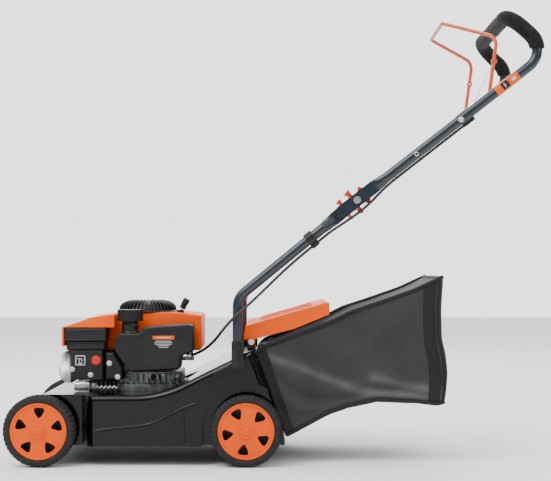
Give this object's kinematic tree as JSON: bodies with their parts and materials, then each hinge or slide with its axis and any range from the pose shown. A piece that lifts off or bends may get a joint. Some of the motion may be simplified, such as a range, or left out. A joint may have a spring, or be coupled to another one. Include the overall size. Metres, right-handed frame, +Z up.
{
  "type": "push lawn mower",
  "caption": "Walk-behind petrol lawn mower with a steel deck, folding tube handle, dead-man bail, rear flap and fabric grass bag.",
  "frame": {"origin": "on the ground, under the middle of the whole mower", "axes": "+Z up, -X towards the front of the mower, -Y towards its left side"},
  "size_m": [1.1467, 0.45, 0.9755],
  "materials": {
    "black_deck_paint": "gloss black powder coat",
    "orange_plastic": "gloss moulded orange",
    "orange_wire_coat": "plastic-dipped orange wire",
    "tyre_rubber": "matt moulded tread",
    "tube_paint": "semi-gloss slate black paint",
    "foam": "closed-cell foam sleeve",
    "zinc_steel": "zinc plated",
    "black_steel": "black oxide",
    "red_plastic": "gloss moulded red",
    "black_plastic": "fine moulded texture",
    "bag_fabric": "coated woven polyester mesh",
    "cast_aluminium": "die cast, bead blasted",
    "cast_iron_grey": "as cast",
    "machined_steel": "turned and ground",
    "muffler_silver": "heat resistant silver paint",
    "filter_paper": "pleated paper",
    "red_rubber": "smooth soft moulding",
    "cable_sheath": "smooth black sheath"
  },
  "bodies": {
    "mower": {"deck": "black_deck_paint", "wheel_axle_bolts": "zinc_steel", "lower_handle_left": "tube_paint", "lower_handle_right": "tube_paint", "handle_brackets": "black_steel", "handle_bolts": "zinc_steel", "cable_clip": "black_plastic", "control_cable_lower": "cable_sheath", "control_cable_fold": "cable_sheath", "flap_rod": "zinc_steel", "flap_springs": "machined_steel", "crankcase": "cast_aluminium", "cylinder": "cast_iron_grey", "cylinder_head": "cast_aluminium", "spark_plug": "machined_steel", "plug_boot": "black_plastic", "piston": "cast_aluminium", "connecting_rod": "cast_aluminium", "blower_housing": "orange_plastic", "recoil_housing": "black_plastic", "rope_guide": "black_plastic", "fuel_tank": "black_plastic", "air_filter_box": "black_plastic", "air_filter_element": "filter_paper", "carburettor_cover": "black_plastic", "carburettor": "cast_aluminium", "breather_housing": "black_plastic", "muffler": "black_steel", "muffler_guard": "muffler_silver", "engine_bolts": "zinc_steel"},
    "upper_handle": {"upper_handle": "tube_paint", "foam_grip": "foam", "control_cable_upper": "cable_sheath", "cable_stop": "tube_paint", "brake_inner_wire": "machined_steel"},
    "bail": {"bail": "orange_wire_coat"},
    "knob_left": {"knob_left": "red_plastic"},
    "knob_right": {"knob_right": "red_plastic"},
    "rear_flap": {"rear_flap": "orange_plastic"},
    "grass_bag": {"grass_bag": "bag_fabric", "bag_frame": "black_steel"},
    "rotor": {"crankshaft": "machined_steel", "flywheel": "cast_iron_grey", "blade_adapter": "cast_iron_grey", "cutting_blade": "black_steel", "blade_bolt": "zinc_steel"},
    "brake_lever": {"brake_lever": "zinc_steel"},
    "recoil_pulley": {"recoil_pulley": "black_plastic"},
    "starter_handle": {"starter_handle": "black_plastic"},
    "fuel_cap": {"fuel_cap": "black_plastic"},
    "air_filter_cover": {"air_filter_cover": "black_plastic"},
    "primer_bulb": {"primer_bulb": "red_rubber"},
    "wheel_front_left": {"tyre_front_left": "tyre_rubber", "wheel_front_left": "orange_plastic"},
    "wheel_front_right": {"tyre_front_right": "tyre_rubber", "wheel_front_right": "orange_plastic"},
    "wheel_rear_left": {"tyre_rear_left": "tyre_rubber", "wheel_rear_left": "orange_plastic"},
    "wheel_rear_right": {"tyre_rear_right": "tyre_rubber", "wheel_rear_right": "orange_plastic"}
  },
  "joints": [
    {"name": "front_left_wheel_spin", "type": "hinge", "parent": "mower", "child": "wheel_front_left", "pos_m": [-0.499, -0.206, 0.076], "axis": [0, 1, 0], "continuous": true},
    {"name": "front_right_wheel_spin", "type": "hinge", "parent": "mower", "child": "wheel_front_right", "pos_m": [-0.499, 0.206, 0.076], "axis": [0, 1, 0], "continuous": true},
    {"name": "rear_left_wheel_spin", "type": "hinge", "parent": "mower", "child": "wheel_rear_left", "pos_m": [-0.062, -0.206, 0.076], "axis": [0, 1, 0], "continuous": true},
    {"name": "rear_right_wheel_spin", "type": "hinge", "parent": "mower", "child": "wheel_rear_right", "pos_m": [-0.062, 0.206, 0.076], "axis": [0, 1, 0], "continuous": true},
    {"name": "handle_fold", "type": "hinge", "parent": "mower", "child": "upper_handle", "pos_m": [0.173, 0, 0.564], "axis": [0, -1, 0], "range_deg": [0, 138], "deforming": ["control_cable_fold"]},
    {"name": "bail_pull", "type": "hinge", "parent": "upper_handle", "child": "bail", "pos_m": [0.456, 0, 0.783], "axis": [0, 1, 0], "range_deg": [0, 24], "stiffness_Nm_per_rad": 0.8, "springref_deg": -20.05, "deforming": ["brake_inner_wire"]},
    {"name": "knob_left_turn", "type": "hinge", "parent": "mower", "child": "knob_left", "pos_m": [0.173, -0.18, 0.564], "axis": [0, -1, 0], "continuous": true},
    {"name": "knob_right_turn", "type": "hinge", "parent": "mower", "child": "knob_right", "pos_m": [0.173, 0.18, 0.564], "axis": [0, 1, 0], "continuous": true},
    {"name": "flap_lift", "type": "hinge", "parent": "mower", "child": "rear_flap", "pos_m": [-0.052, 0, 0.262], "axis": [0, -1, 0], "range_deg": [0, 42], "stiffness_Nm_per_rad": 0.6, "springref_deg": -17.19},
    {"name": "bag_lift_off", "type": "slide", "parent": "mower", "child": "grass_bag", "axis": [0.9608, 0, 0.2773], "range_m": [0, 0.3]},
    {"name": "blade_spin", "type": "hinge", "parent": "mower", "child": "rotor", "pos_m": [-0.29, 0, 0.2], "axis": [0, 0, 1], "continuous": true},
    {"name": "brake_lever_turn", "type": "hinge", "parent": "mower", "child": "brake_lever", "pos_m": [-0.192, -0.048, 0.23], "axis": [0, 0, 1], "range_deg": [0, 15]},
    {"name": "starter_pull", "type": "slide", "parent": "mower", "child": "starter_handle", "axis": [0.4695, 0, 0.8829], "range_m": [0, 0.6], "stiffness_N_per_m": 12, "springref_m": -0.25},
    {"name": "recoil_turn", "type": "hinge", "parent": "mower", "child": "recoil_pulley", "pos_m": [-0.29, 0, 0.334], "axis": [0, 0, 1], "range_deg": [0, 1130]},
    {"name": "fuel_cap_turn", "type": "hinge", "parent": "mower", "child": "fuel_cap", "pos_m": [-0.319, -0.101, 0.31], "axis": [0, 0, 1], "continuous": true},
    {"name": "filter_cover_off", "type": "slide", "parent": "mower", "child": "air_filter_cover", "axis": [0, -1, 0], "range_m": [0, 0.12]},
    {"name": "primer_press", "type": "slide", "parent": "mower", "child": "primer_bulb", "axis": [0, 1, 0], "range_m": [0, 0.004], "stiffness_N_per_m": 300, "springref_m": -0.002}
  ],
  "couplings": [
    {"joint": "brake_lever_turn", "follows": "bail_pull", "ratio": 0.6},
    {"joint": "recoil_turn", "follows": "starter_pull", "rad_per_m": 32.8}
  ]
}
